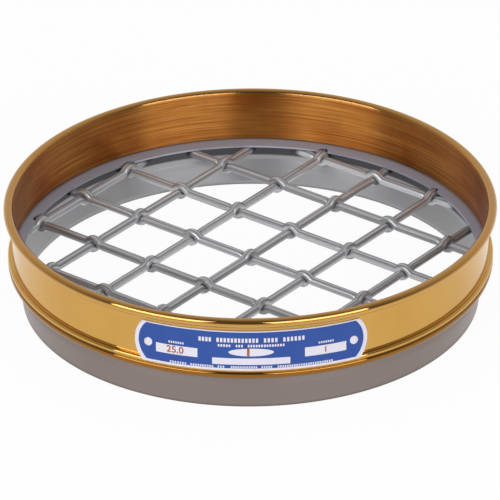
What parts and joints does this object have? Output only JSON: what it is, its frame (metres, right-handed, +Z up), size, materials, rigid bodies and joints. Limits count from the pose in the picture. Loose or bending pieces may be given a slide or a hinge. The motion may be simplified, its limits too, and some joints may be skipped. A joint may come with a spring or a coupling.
{
  "type": "test sieve",
  "caption": "Round half-height test sieve: spun brass frame with a rolled rim, stainless skirt and a coarse cloth of crimped round wires, with a blank printed nameplate.",
  "frame": {"origin": "centre of the skirt's foot, on the surface the sieve stands on", "axes": "+Z up along the frame's axis, out of the mouth; -Y towards the nameplate"},
  "size_m": [0.2116, 0.2116, 0.0449],
  "materials": {
    "brass": "polished",
    "skirt_steel": "brushed",
    "ring_steel": "satin",
    "wire_steel": "polished",
    "plate_paint": "gloss",
    "rivet_metal": "satin"
  },
  "bodies": {
    "root": {"brass_frame": "brass", "skirt": "skirt_steel", "cloth_ring": "ring_steel", "warp_wire_1": "wire_steel", "warp_wire_2": "wire_steel", "warp_wire_3": "wire_steel", "warp_wire_4": "wire_steel", "warp_wire_5": "wire_steel", "warp_wire_6": "wire_steel", "warp_wire_7": "wire_steel", "weft_wire_1": "wire_steel", "weft_wire_2": "wire_steel", "weft_wire_3": "wire_steel", "weft_wire_4": "wire_steel", "weft_wire_5": "wire_steel", "weft_wire_6": "wire_steel", "weft_wire_7": "wire_steel", "nameplate": "plate_paint", "nameplate_rivet_left": "rivet_metal", "nameplate_rivet_right": "rivet_metal"}
  },
  "joints": []
}
